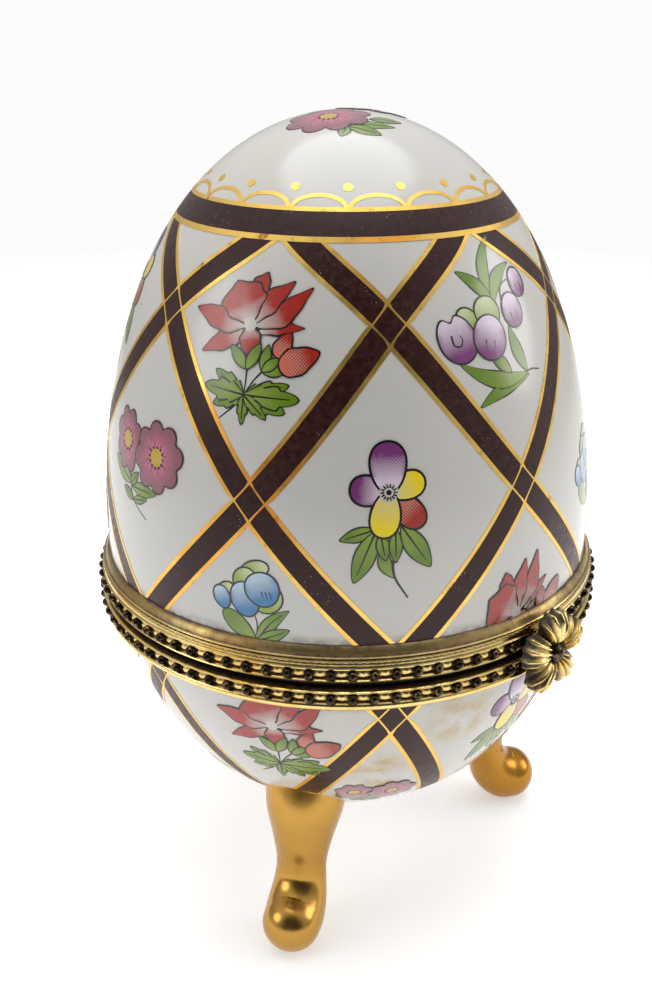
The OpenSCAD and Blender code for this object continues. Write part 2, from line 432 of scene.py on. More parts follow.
def printed_gold(look):
    """Thin burnished gold line: bright, reddened and browned in places."""
    mix = Recipe("printed_gold")
    gold = tuple(look.gold_colour)
    copper = shades(gold, 0.95, 0.62, 0.35)
    brown = shades(gold, 0.45, 0.34, 0.2)
    colour = mix.blend(mix.remap(mix.cloud(55, 5), 0.52, 0.68), gold, copper)
    colour = mix.blend(mix.remap(mix.cloud(420, 4, 0.7), 0.6, 0.72), colour, brown)
    mix.link(colour, "Base Color")
    mix.set(Metallic=0.85)
    mix.link(mix.remap(mix.cloud(300, 4), 0.3, 0.75, 0.22, 0.5), "Roughness")
    mix.bump(mix.cloud(900, 3), 0.00002, 0.4)
    return mix.material


def flower_print(look):
    """Ceramic transfer print: each piece's Shade colours, broken into halftone dots."""
    mix = Recipe("flower_print")
    shade = mix.node("ShaderNodeVertexColor", layer_name="Shade").outputs
    place = mix.node("ShaderNodeUVMap", uv_map="Print").outputs[0]
    parts = mix.parts(place)
    pitch = TURN / look.dot_pitch * SCREEN_STRETCH
    waves = [mix.maths("COSINE", mix.times(mix.maths(way, parts[0], parts[1]), pitch))
             for way in ("ADD", "SUBTRACT")]
    dots = mix.remap(mix.maths("ADD", *waves), -1.3, 1.3, -0.5, 0.5)
    tone = mix.times(dots, shade["Alpha"])
    lighter = mix.blend(mix.remap(tone, 0, 0.5, 0, 0.62), shade["Color"], tuple(look.glaze_colour))
    colour = mix.blend(mix.remap(tone, 0, -0.5, 0, 0.5), lighter, (0.55, 0.42, 0.42),
                       blend_type="MULTIPLY")
    mix.link(colour, "Base Color")
    mix.link(mix.remap(mix.cloud(200, 3), 0.3, 0.7, 0.16, 0.3), "Roughness")
    mix.set(Coat_Weight=0.3, Coat_Roughness=0.1)
    mix.bump(mix.cloud(1200, 2), 0.00001, 0.3)
    return mix.material


def foot_gilding(look):
    """Burnished lustre gold over glaze, with ripples and browner hollows."""
    mix = Recipe("foot_gilding")
    gold = tuple(look.foot_colour)
    deep = shades(gold, 0.82, 0.68, 0.44)
    colour = mix.blend(mix.remap(mix.cloud(60, 4), 0.42, 0.7), gold, deep)
    worn = mix.remap(mix.cloud(900, 4, 0.7), 0.66, 0.74, 0, 0.7)
    mix.link(mix.blend(worn, colour, (0.30, 0.16, 0.06)), "Base Color")
    mix.set(Metallic=1.0)
    mix.link(mix.remap(mix.cloud(130, 4), 0.3, 0.7, 0.2, 0.36), "Roughness")
    ripple = mix.bump(mix.cloud(150, 2), 0.00012, 0.5)
    mix.bump(mix.cloud(1400, 3), 0.00001, 0.3, ripple)
    return mix.material


def aged_brass(name, colour, patina, tarnish, roughness, scale=1.0):
    """Brass with brown-black tarnish that gathers in clouds and in Hollow parts, and near-black
    painted shade where Hollow runs past 1, in the gap between the bezels.
    """
    mix = Recipe(name)
    hollow = mix.node("ShaderNodeAttribute", attribute_name="Hollow").outputs["Fac"]
    patches = mix.remap(mix.cloud(180 * scale, 6, 0.65), 0.38, 0.66)
    fine = mix.remap(mix.cloud(1300 * scale, 4, 0.7), 0.4, 0.65)
    share = mix.maths("ADD", mix.times(patches, tarnish), mix.times(hollow, 0.95))
    share = mix.maths("ADD", share, mix.times(fine, tarnish * 0.55))
    share = mix.remap(share, 0.12, 1.0)
    warm = mix.blend(mix.remap(mix.cloud(90 * scale, 3), 0.4, 0.65), colour,
                     shades(colour, 0.95, 0.8, 0.55))
    crust = mix.blend(mix.remap(mix.cloud(520 * scale, 5, 0.75), 0.4, 0.6), patina,
                      tuple(c * 3.2 + 0.01 for c in patina))
    metal = mix.blend(share, warm, crust)
    # Hollow from 1 to 2 blends to painted shade: a near-black colour that stands in for the shade
    # inside the gap
    mix.link(mix.blend(mix.remap(hollow, 1.0, 2.0), metal, PAINTED_GAP_SHADE), "Base Color")
    mix.link(mix.remap(share, 0.55, 1.0, 1.0, 0.35), "Metallic")
    mix.link(mix.remap(share, 0, 1, roughness, roughness + 0.3), "Roughness")
    mix.bump(fine, 0.00002, 0.5)
    return mix.material


def beads_tarnish_and_painted_reflection():
    """Dark brass beads, glossy where rubbed: their near-black colour is partly tarnish and partly
    painted reflection of the dark surroundings.
    """
    mix = Recipe("beads_tarnish_and_painted_reflection")
    rubbed = mix.remap(mix.cloud(1100, 4, 0.7), 0.5, 0.72)
    # Near black: partly tarnish, partly a painted dark reflection of the surroundings
    mix.link(mix.blend(rubbed, (0.020, 0.013, 0.009), (0.30, 0.21, 0.09)), "Base Color")
    mix.set(Metallic=0.9)
    mix.link(mix.remap(rubbed, 0, 1, 0.1, 0.28), "Roughness")
    mix.bump(mix.cloud(1800, 3), 0.00002, 0.4)
    return mix.material


def set_cement():
    """Grey-buff cement, rough and pitted."""
    mix = Recipe("set_cement")
    grain = mix.remap(mix.cloud(700, 6, 0.7), 0.3, 0.7)
    mix.link(mix.blend(grain, (0.42, 0.35, 0.24), (0.24, 0.2, 0.14)), "Base Color")
    mix.set(Roughness=0.85)
    mix.bump(grain, 0.0001, 0.6)
    return mix.material


def studio_floor():
    """Pale matt paper that fades into the backdrop."""
    mix = Recipe("studio_floor")
    reach = mix.node("ShaderNodeVectorMath", operation="LENGTH",
                     inputs={0: mix.place()}).outputs["Value"]
    mix.link(mix.remap(reach, *FLOOR_FADE, 1, 0), "Alpha")
    grain = mix.remap(mix.cloud(300, 5), 0.3, 0.7)
    mix.link(mix.blend(grain, (0.86, 0.86, 0.86), (0.83, 0.83, 0.83)), "Base Color")
    mix.set(Roughness=0.7, Emission_Color=(1, 1, 1, 1), Emission_Strength=0.42)
    return mix.material


MATERIALS = {}


def finish(name):
    """The named material, made once from the panel's colours."""
    look = bpy.context.scene.egg_box_look
    brass = tuple(look.brass_colour)
    makers = {
        "porcelain": lambda: glazed_porcelain(look),
        "maroon": lambda: maroon_enamel(look),
        "gold_line": lambda: printed_gold(look),
        "print": lambda: flower_print(look),
        "gilding": lambda: foot_gilding(look),
        "bezel": lambda: aged_brass("bezel_brass", brass, (0.050, 0.028, 0.014), 0.2, 0.15),
        "clasp": lambda: aged_brass("clasp_brass", brass, (0.022, 0.015, 0.008), 0.28, 0.16, 1.4),
        "hinge": lambda: aged_brass("hinge_brass", brass, (0.06, 0.035, 0.015), 0.45, 0.28),
        "beading": beads_tarnish_and_painted_reflection,
        "cement": set_cement,
    }
    if name not in MATERIALS:
        MATERIALS[name] = makers[name]()
    return MATERIALS[name]


# ---- printed strips: bands, gold lines, scallops ----

def print_strip(mesh, length_steps, width_steps, place, lift):
    """A strip of print: place(along 0..1, across -1..1) gives (angle, z) on the egg."""
    strip = bmesh.new()
    bmesh.ops.create_grid(strip, x_segments=length_steps, y_segments=width_steps, size=1)
    rise = bmesh.ops.extrude_face_region(strip, geom=strip.faces[:])["geom"]
    upper = [item for item in rise if isinstance(item, bmesh.types.BMVert)]
    bmesh.ops.translate(strip, verts=upper, vec=(0, 0, 1))
    for vert in strip.verts:
        angle, z = place(0.5 + vert.co.x / 2, vert.co.y)
        height = lift if vert.co.z > 0.5 else lift - PRINT_DEPTH
        vert.co = on_egg(angle, z, height * MM)
    join(mesh, strip)


def beside(angle, z, direction, offset):
    """The place at an offset to the left of a direction (round, up) on the egg."""
    length = math.hypot(*direction)
    round_step = -direction[1] / length * offset
    up_step = direction[0] / length * offset
    return angle + round_step / egg_radius(z), height_at(arc_at(z) + up_step)


def lattice_strip(mesh, side, start_angle, rows, span, offset, width, lift, width_steps):
    """One band or one of its gold lines, from row span[0] to span[1] of the rows."""
    step = 0.01

    def on_line(row):
        angle = start_angle + side * (row - 1) * math.pi / LATTICE_CELLS
        return angle, row_height(row, rows)

    def place(along, across):
        row = span[0] + (span[1] - span[0]) * along
        a0, z0 = on_line(row - step)
        a1, z1 = on_line(row + step)
        angle, z = on_line(row)
        r = egg_radius(z)
        direction = ((a1 - a0) * r, arc_at(z1) - arc_at(z0))
        shift = offset(row) + across * width(row) / 2
        return beside(angle, z, direction, shift * MM)

    steps = int(STRIP_STEPS * (span[1] - span[0])) + 2
    print_strip(mesh, steps, width_steps, place, lift)


def ring_strip(mesh, z_low, z_high, lift):
    """A band all the way round between two heights."""
    low, high = arc_at(z_low), arc_at(z_high)
    steps = max(1, int((high - low) / (0.9 * MM)))
    heights = [height_at(low + (high - low) * i / steps) for i in range(steps + 1)]

    def lifted(z, height):
        point = on_egg(0, z, height * MM)
        return (-point.y, point.z)

    outline = [lifted(z, lift) for z in heights]
    outline += [lifted(z, lift - PRINT_DEPTH) for z in reversed(heights)]
    join(mesh, spin_outline(outline, RING_STEPS))


def arch_strip(mesh, middle, z_base, half_width, rise, width, lift):
    """One scallop: a half-ellipse of gold standing on the crown band."""
    def place(along, across):
        turn = math.pi * along
        r = egg_radius(z_base)
        x = -half_width * math.cos(turn)
        y = rise * math.sin(turn)
        direction = (half_width * math.sin(turn), rise * math.cos(turn))
        angle = middle + x * MM / r
        z = height_at(arc_at(z_base) + y * MM)
        return beside(angle, z, direction, across * width / 2 * MM)

    print_strip(mesh, 20, 1, place, lift)


# ---- flower sprays, drawn flat in millimetres ----

INK = linear(22, 22, 20)
LEAF_INK = linear(22, 34, 16)
GREEN_INK = linear(38, 52, 30)
PAPER = (0.60, 0.57, 0.53)
RED = linear(164, 28, 8)
BLUSH = linear(206, 108, 84)
LEAF = linear(98, 130, 22)
PALE_LEAF = linear(142, 164, 62)
PURPLE = linear(116, 44, 112)
LILAC = linear(218, 200, 220)
YELLOW = linear(240, 214, 30)
OCHRE = linear(188, 160, 70)
PALE_YELLOW = linear(222, 206, 130)
MAGENTA = linear(122, 14, 62)
ROSE = linear(196, 84, 132)
BLUE = linear(44, 116, 172)
PALE_BLUE = linear(176, 198, 216)
CALYX = linear(196, 206, 160)
SPECK = linear(70, 40, 30)
DEEP_BLUE = linear(30, 60, 110)


class SprayPen:
    """Draws petals, leaves and strokes flat, each layer a little above the last."""

    def __init__(self):
        self.mesh = bmesh.new()
        self.mesh.loops.layers.float_color.new("Shade")
        self.layer = 0

    def next_height(self):
        self.layer += 1
        return SPRAY_LIFT + self.layer * LAYER_STEP

    def disc(self, centre, rim, colour_at, outline, ink, sides=28, rings=(0.0, 0.45, 0.8, 1.0)):
        """A filled shape: rim(turn) gives its edge, colour_at(point, reach) its colours."""
        reaches = rings + ((2.0,) if outline else ())
        mesh = spin_outline([(reach + 3, 0) for reach in reaches], sides, closed=False)
        shade = mesh.loops.layers.float_color.new("Shade")
        height = self.next_height()
        reach_of = {}
        for vert in mesh.verts:
            reach = math.hypot(vert.co.x, vert.co.y) - 3
            edge = Vector(rim(math.atan2(vert.co.y, vert.co.x)))
            spoke = edge - centre
            if reach > 1.5:
                point = edge + spoke.normalized() * outline
            else:
                point = centre + spoke * reach
            reach_of[vert] = reach
            vert.co = (point.x, point.y, height)
        for face in mesh.faces:
            inked = all(reach_of[loop.vert] > 0.99 for loop in face.loops)
            for loop in face.loops:
                point = loop.vert.co.xy
                colour = (*ink, 0.0) if inked else colour_at(point, reach_of[loop.vert])
                loop[shade] = colour
        middle = [vert for vert in mesh.verts if reach_of[vert] < 0.01]
        bmesh.ops.pointmerge(mesh, verts=middle, merge_co=(centre[0], centre[1], height))
        join(self.mesh, mesh)

    def petal(self, base, tip, width, inner, outer, point=0.5, outline=0.22, ink=INK,
              bend=0.0, tone=0.9, start=0.15, full=0.75, wave=0.0, root=0.0, teeth=0, notch=0.0,
              spike=0.0, sides=30):
        """A petal or leaf from base to tip, inner colour at the base, outer at the tip."""
        base, tip = Vector(base), Vector(tip)
        axis = tip - base
        side = Vector((-axis.y, axis.x)).normalized()

        def rim(turn):
            share = (1 - math.cos(turn)) / 2
            half = width / 2 * math.sin(turn) * (1.12 - point * 0.9 * share ** 1.6)
            half *= 1 + wave * math.sin(share * 16 + (2 if turn > 0 else 0))
            half *= (1 + 0.45 * root) * share ** root
            if teeth and 0.05 < share < 0.97:
                half *= 0.72 + 0.42 * (share * teeth % 1.0)
            curve = bend * 4 * share * (1 - share)
            push = (notch if share < 0.5 else spike) * math.exp(-(half / width * 7) ** 2)
            return base + axis * (share + push) + side * (half + curve)

        def colour_at(place, reach):
            share = (place - base).dot(axis) / axis.length_squared
            share = max(0.0, min(1.0, (share - start) / (full - start)))
            share = max(share, 0.8 * reach ** 4 * min(1.0, share * 4))
            mixed = [a + (b - a) * share for a, b in zip(inner, outer)]
            return (*mixed, tone * max(0.12, 4 * share * (1 - share)))

        centre = base + axis * 0.5 + side * bend
        count = max(3, int(max(axis.length, width) / 1.3))
        rings = tuple(i / count for i in range(count + 1))
        self.disc(centre, rim, colour_at, outline, ink, sides, rings)

    def blossom(self, centre, radius, lobes, inner, outer, squash=1.0, turn=0.0):
        """A round flower with notched lobes."""
        centre = Vector(centre)

        def rim(angle):
            wave = abs(math.cos((angle - turn) * lobes / 2))
            uneven = 0.05 * math.sin(angle * 2 + turn * 5)
            size = radius * (0.76 + 0.24 * wave ** 0.7 + uneven)
            return centre + Vector((size * squash * math.cos(angle), size * math.sin(angle)))

        def colour_at(place, reach):
            share = max(0.0, min(1.0, (reach - 0.2) / 0.6))
            mixed = [a + (b - a) * share for a, b in zip(inner, outer)]
            return (*mixed, 0.9)

        self.disc(centre, rim, colour_at, 0.22, tuple(c * 0.25 for c in outer), 80,
                  tuple(i / 7 for i in range(8)))
        for i in range(lobes * 3):
            angle = turn + (i + 0.5) * TURN / lobes / 3
            ray = Vector((squash * math.cos(angle), math.sin(angle)))
            reach = radius * (0.66 if i % 3 else 0.5)
            ink = tuple(c * 1.25 for c in inner) if i % 3 else tuple(c * 0.4 for c in outer)
            self.stroke([centre + ray * radius * 0.32, centre + ray * reach], 0.12, ink,
                        fresh=False)
        self.layer += 1

    def daisy(self, centre, radius, squash, turn, eye, ring):
        """A magenta blossom whose yellow eye has a ring of brown specks."""
        self.blossom(centre, radius, 8, ROSE, MAGENTA, squash, turn)
        self.dot(centre, eye, OCHRE, 16)
        for i in range(12):
            self.dot(Vector(centre) + around(i * TURN / 12) * ring, 0.2, SPECK, 6)

    def dot(self, centre, radius, colour, sides=10):
        centre = Vector(centre)
        rings = (0.0, 0.5, 1.0) if radius > 0.6 else (0.0, 1.0)
        self.disc(centre, lambda angle: centre + around(angle) * radius,
                  lambda place, reach: (*colour, 0.0), 0, INK, sides, rings)

    def calyx(self, base, tip, width, point=0.1):
        """The pale green cup of a bell."""
        self.petal(base, tip, width, CALYX, PALE_LEAF, point=point, tone=0.2)

    def stroke(self, points, width=0.24, ink=INK, fresh=True):
        """A brush line through points, tapering, on a fresh layer or just above the last."""
        points = [Vector(p) for p in points]
        mesh = bmesh.new()
        shade = mesh.loops.layers.float_color.new("Shade")
        bmesh.ops.create_grid(mesh, x_segments=6 * (len(points) - 1), y_segments=1, size=1)
        height = self.next_height() if fresh else SPRAY_LIFT + (self.layer + 1) * LAYER_STEP
        for vert in mesh.verts:
            along = (vert.co.x + 1) / 2
            place = curve_point(points, along)
            ahead = (curve_point(points, min(1, along + 0.02))
                     - curve_point(points, max(0, along - 0.02)))
            side = Vector((-ahead.y, ahead.x)).normalized()
            half = width / 2 * (1 - 0.55 * along)
            place = place + side * half * (1 if vert.co.y > 0 else -1)
            vert.co = (place.x, place.y, height)
        for face in mesh.faces:
            for loop in face.loops:
                loop[shade] = (*ink, 0.0)
        join(self.mesh, mesh)

    def leaf(self, base, tip, width, vein=True, **options):
        """A green leaf with its midrib."""
        options = {"point": 0.8, "tone": 0.15, "outline": 0.2, "start": 0.0, "root": 0.35,
                   "ink": LEAF_INK, **options}
        self.petal(base, tip, width, PALE_LEAF, LEAF, **options)
        if vein:
            base, tip = Vector(base), Vector(tip)
            axis = tip - base
            side = Vector((-axis.y, axis.x)).normalized() * options.get("bend", 0.0)
            self.stroke([base, base + axis * 0.5 + side, base + axis * 0.86 + side * 0.5],
                        0.24, LEAF_INK)

    def sheet(self):
        """The finished flat drawing, thickened, as a mesh."""
        down = [face for face in self.mesh.faces if face.normal.z < 0]
        bmesh.ops.reverse_faces(self.mesh, faces=down)
        faces = self.mesh.faces[:]
        rise = bmesh.ops.extrude_face_region(self.mesh, geom=faces)["geom"]
        upper = {item for item in rise if isinstance(item, bmesh.types.BMVert)}
        for vert in self.mesh.verts:
            if vert not in upper:
                vert.co.z -= PRINT_DEPTH
        data = bpy.data.meshes.new("spray_sheet")
        self.mesh.to_mesh(data)
        self.mesh.free()
        return data


def draw_poppy():
    """Red pointed-petalled flower with a bud and a lobed leaf."""
    pen = SprayPen()
    hub = (-1.5, -8.2)
    pen.stroke([hub, (-2.6, -9.6), (-4.4, -11.2)], 0.3)
    pen.stroke([(0.5, -5.4), (-0.5, -6.6), hub])
    pen.stroke([(-1.4, -5.2), (-1.4, -6.8), hub])
    for tip, width in (((-5.2, -9.6), 1.9), ((-5.2, -5.9), 1.9), ((-6.5, -7.7), 2.5),
                       ((3.4, -9.8), 2.2), ((3.6, -6.8), 1.9), ((4.9, -8.3), 2.7),
                       ((-1.5, -11.4), 1.2), ((1.3, -10.6), 1.4)):
        pen.leaf(hub, tip, width * 1.15, teeth=3, sides=52)
    for tip, width in (((0.9, -2.6), 1.4), ((3.2, -5.3), 1.3), ((2.3, -3.9), 1.3)):
        pen.leaf((0.5, -5.4), tip, width, vein=False)
    pen.petal((2.0, -3.7), (3.2, -1.0), 2.0, BLUSH, RED, point=0.7, wave=0.05)
    pen.petal((2.5, -4.9), (6.6, -3.0), 3.1, BLUSH, RED, point=0.7, wave=0.05)
    heart = (-1.6, -0.4)
    for base, tip, width, sharpness, bend in (
            ((-1.4, 2.2), (-0.6, 5.1), 2.3, 0.5, 0.2), (heart, (-6.8, -3.6), 2.8, 0.8, 0.1),
            ((-0.6, -1.3), (4.0, -0.5), 1.8, 0.8, 0.35), (heart, (-8.2, 0.5), 3.3, 0.7, 0.25),
            (heart, (4.2, 3.5), 3.0, 0.75, -0.9), (heart, (2.3, 4.1), 2.9, 0.8, 0.3),
            (heart, (-3.7, 3.7), 4.8, -0.1, -0.1), (heart, (-1.2, -3.6), 2.7, 0.5, 0.0)):
        pen.petal(base, tip, width, PAPER, RED, point=sharpness, bend=bend, start=0.08, full=0.55,
                  wave=0.09, root=0.45, spike=0.12, sides=40)
    pen.dot(heart, 0.75, PAPER, 14)
    for tip in ((-3.5, -3.0), (-0.1, -2.5)):
        pen.leaf((-1.4, -5.3), tip, 1.5, vein=False)
    return pen.sheet()


def draw_bellflower():
    """Purple buds hanging from pale calyxes among long blades."""
    pen = SprayPen()
    pen.stroke([(2.6, -7.5), (4.0, -7.4), (5.4, -7.7)], 0.26)
    pen.leaf((3.2, -7.9), (-5.0, -10.2), 2.0, vein=False, bend=-0.5)
    pen.leaf((3.0, -7.6), (-6.7, -5.1), 2.3, vein=False, bend=1.2)
    pen.leaf((3.0, -7.4), (1.4, -2.0), 1.9, vein=False, bend=0.3)
    pen.leaf((0.2, -7.0), (-2.4, -4.4), 1.7, vein=False)
    hub = (-0.2, 1.0)
    for tip, width, bend in (((2.4, 8.9), 1.9, 1.3), ((-4.1, 5.2), 1.8, -0.4),
                             ((4.2, 5.2), 1.9, 0.9)):
        pen.leaf(hub, tip, width, vein=False, bend=bend)
    pen.stroke([(1.2, 0.2), (1.6, 2.6), (3.2, 3.4), (4.2, 3.2)], 0.2, GREEN_INK)
    pen.calyx((-5.2, 0.9), (-3.6, -2.0), 2.4)
    pen.calyx((-2.0, 1.9), (-0.9, -1.5), 3.2)
    pen.petal((-7.0, 0.4), (-5.8, -4.9), 4.1, LILAC, PURPLE, point=-0.1, start=0.2, full=0.8,
              tone=0.6, notch=0.17, sides=60)
    pen.stroke([(-7.1, -1.8), (-7.0, -2.9), (-6.2, -3.1), (-5.8, -2.4), (-6.0, -1.9)], 0.26)
    for top, low, width in (((4.6, 4.5), (5.1, 1.2), 2.2), ((2.4, 1.8), (2.9, -2.1), 2.8),
                            ((-1.4, -0.2), (-2.5, -5.1), 3.9)):
        pen.petal(top, low, width, LILAC, PURPLE, point=-0.1, start=0.2, full=0.8, tone=0.6)
        axis = Vector(low) - Vector(top)
        mark = Vector(top) + axis * 0.55
        for side in (-0.12, 0.12):
            shift = Vector((axis.y, -axis.x)) * side
            pen.stroke([mark + shift, mark + shift + axis * 0.22], 0.16)
    return pen.sheet()


def draw_pansy():
    """Pansy with two purple, two yellow and one red petal over a fan of leaves."""
    pen = SprayPen()
    pen.leaf((-0.5, -8.2), (-1.5, -4.4), 1.7, vein=False, bend=0.5, ink=GREEN_INK)
    pen.stroke([(0.1, -4.6), (-0.5, -6.4), (-0.3, -8.3), (1.2, -10.9)], 0.42)
    for base, tip, width in (((-2.5, -2.4), (-6.4, -3.6), 1.8), ((-2.5, -2.7), (-5.0, -8.6), 2.8),
                             ((-1.9, -3.0), (-1.4, -6.0), 1.7), ((-0.2, -2.6), (-0.2, -6.3), 1.7),
                             ((0.5, -2.2), (3.8, -7.2), 2.9)):
        pen.leaf(base, tip, width)
    heart = Vector((-0.9, 1.8))
    for tip, width, inner, outer in (((2.9, -2.2), 2.3, BLUSH, RED),
                                     ((-5.1, 2.3), 2.5, LILAC, PURPLE),
                                     ((3.1, 3.0), 2.3, PALE_YELLOW, YELLOW),
                                     ((-0.9, 7.4), 3.0, LILAC, PURPLE),
                                     ((-1.7, -3.3), 2.5, PALE_YELLOW, YELLOW)):
        tone = 0.2 if outer == YELLOW else 0.9
        pen.petal(heart, tip, width, inner, outer, point=-0.5, outline=0.28, start=0.25,
                  full=0.75, tone=tone)
    pen.dot(heart, 1.1, PAPER, 16)
    pen.dot(heart, 0.32, INK)
    for i in range(14):
        ray = around(i * TURN / 14)
        pen.stroke([heart + ray * 0.55, heart + ray * 1.0], 0.22)
    return pen.sheet()


def draw_daisies():
    """A pair of magenta scalloped daisies with yellow eyes."""
    pen = SprayPen()
    fork = (-1.8, -4.2)
    pen.stroke([(-2.6, -1.0), (-2.4, -2.6), fork, (1.3, -5.9)], 0.24, GREEN_INK)
    for base, tip, width in (((-2.4, -2.6), (3.0, -2.2), 1.9), ((-2.5, -2.2), (-7.4, -0.2), 2.6),
                             ((-2.5, -2.4), (-0.9, -0.6), 1.3), (fork, (1.2, -3.4), 1.1),
                             (fork, (-4.2, -3.2), 1.2)):
        pen.leaf(base, tip, width, ink=GREEN_INK)
    for centre, radius, squash, turn in (((-4.2, 2.8), 4.0, 0.85, 0.5),
                                         ((2.8, 2.4), 4.5, 0.95, 0.2)):
        pen.daisy(centre, radius, squash, turn, 1.2, 1.25)
    return pen.sheet()


def draw_bluebell():
    """Blue bells under pale calyxes between broad leaves."""
    pen = SprayPen()
    hub = (0.8, -8.4)
    pen.stroke([hub, (1.0, -6.0), (0.4, -4.0)], 0.24, GREEN_INK)
    pen.leaf(hub, (-3.2, -5.0), 2.2, vein=False, point=0.1)
    pen.leaf(hub, (4.8, -3.9), 1.8, bend=0.4)
    pen.leaf(hub, (4.8, -6.4), 1.7)
    pen.calyx((2.4, 1.4), (-0.8, 0.6), 1.7, 0.3)
    pen.calyx((0.7, 0.4), (-1.6, -1.4), 2.4)
    pen.calyx((-2.0, -1.6), (-3.9, -2.6), 1.2)
    pen.calyx((3.0, -0.8), (1.4, -4.2), 3.4)
    pen.petal((-3.9, -2.0), (-3.0, -4.6), 1.9, PALE_BLUE, BLUE, point=0.2, tone=0.6)
    pen.petal((-1.0, -1.0), (0.1, -5.1), 3.1, PALE_BLUE, BLUE, point=0.1, tone=0.6)
    pen.petal((0.9, 0.4), (2.5, -3.4), 3.7, PALE_BLUE, BLUE, point=0.1, tone=0.6)
    for x in (1.6, 2.1, 2.6):
        pen.stroke([(x, -1.7), (x + 0.3, -2.6)], 0.22, DEEP_BLUE)
    return pen.sheet()


def draw_crown():
    """Magenta flower with leaves, for the top of the dome, centred on its pole."""
    pen = SprayPen()
    for base, tip, width in (((0.5, -7.6), (5.6, -6.6), 2.0), ((0.2, -8.0), (3.9, -9.2), 2.2),
                             ((0.0, -8.0), (-0.6, -10.0), 1.6), ((2.8, -5.4), (6.4, -4.4), 1.9)):
        pen.leaf(base, tip, width)
    for centre, radius in (((-2.2, -4.4), 4.6), ((3.0, 3.2), 4.0)):
        pen.daisy(centre, radius, 1.05, 0.3, 1.1, 1.2)
    for tip, width in (((7.4, 2.8), 1.9), ((5.0, 7.2), 2.0)):
        pen.leaf((4.6, 3.8), tip, width)
    return pen.sheet()


DRAWINGS = {"crown": draw_crown, "poppy": draw_poppy, "bellflower": draw_bellflower,
            "pansy": draw_pansy, "daisies": draw_daisies, "bluebell": draw_bluebell}

# Sprays row by row: height above the egg's middle in egg radii, angle of the first cell
# from the clasp and lean, both in degrees, and the drawings round the egg from there.
# Rows lower than SMALL_ROW are drawn at SMALL_SIZE.
LID_SPRAYS = (
    (0.832, -64, 0, ("poppy", "bellflower", "daisies", "poppy", "bellflower", "pansy")),
    (0.245, -94, 0, ("daisies", "pansy", "bluebell", "poppy", "daisies", "bellflower")),
    (-0.02, -64, 0, ("bluebell", None, "bluebell", "bluebell", None, "bluebell")),
    (-0.208, -64, 30, (None, "poppy", None, None, "poppy", None)),
)
BASE_SPRAYS = (
    (-0.643, -58, 0, ("poppy", None, "daisies", "bluebell", None, "bellflower")),
    (-0.752, 2, 0, ("pansy", None, None, "pansy")),
    (-1.12, -95, 0, ("bluebell", "daisies", "pansy", "bluebell", "daisies", "pansy")),
)
SMALL_ROW = -1.0
SMALL_SIZE = 0.72


def printed_mesh(drawing):
    """A mesh of a flat drawing with its Print map."""
    mesh = bmesh.new()
    mesh.from_mesh(drawing)
    print_map = mesh.loops.layers.uv.new("Print")
    for face in mesh.faces:
        for loop in face.loops:
            loop[print_map].uv = loop.vert.co.xy
    return mesh


def place_spray(name, drawing, angle, z, body, floor=None, ceiling=None, size=1.0, turn=0.0):
    """Lays a flat drawing on the egg round an anchor, and cuts it at a bezel."""
    mesh = printed_mesh(drawing)
    anchor = arc_at(z)
    cosine, sine = math.cos(turn), math.sin(turn)
    for vert in mesh.verts:
        x = (vert.co.x * cosine - vert.co.y * sine) * size
        y = (vert.co.x * sine + vert.co.y * cosine) * size
        height = height_at(anchor + y * MM)
        vert.co = on_egg(angle + x * MM / max(egg_radius(height), 4 * MM), height, vert.co.z * MM)
    for level, keep_below in ((floor, False), (ceiling, True)):
        if level is not None:
            cut_level(mesh, level, keep_below)
    bmesh.ops.recalc_face_normals(mesh, faces=mesh.faces)
    return finish_piece(mesh, name, "print", body)


def place_crown_spray(name, drawing, angle):
    """Lays a flat drawing over the lid's pole, its lower side towards angle."""
    mesh = printed_mesh(drawing)
    upper = ARC_POINTS[:ARC_STEPS // 2:-1]
    heights, radii = [z for r, z in upper], [r for r, z in upper]
    for vert in mesh.verts:
        x, y = vert.co.x, vert.co.y
        height = interpolate(max(0.05, math.hypot(x, y)) * MM, radii, heights)
        vert.co = on_egg(angle + math.atan2(x, -y), height, vert.co.z * MM)
    bmesh.ops.recalc_face_normals(mesh, faces=mesh.faces)
    return finish_piece(mesh, name, "print", "lid")


# ---- metalwork ----

def mark_hollows(piece, depth):
    """Writes the Hollow attribute, where depth(point) is 0 on a high spot and 1 in a groove."""
    layer = piece.data.attributes.new("Hollow", "FLOAT", "POINT")
    layer.data.foreach_set("value", [depth(vert.co) for vert in piece.data.vertices])


BEADS = 84
BEAD_HEIGHT = 1.6
BEAD_RING = 34.43
BEAD_SIZE = 0.58

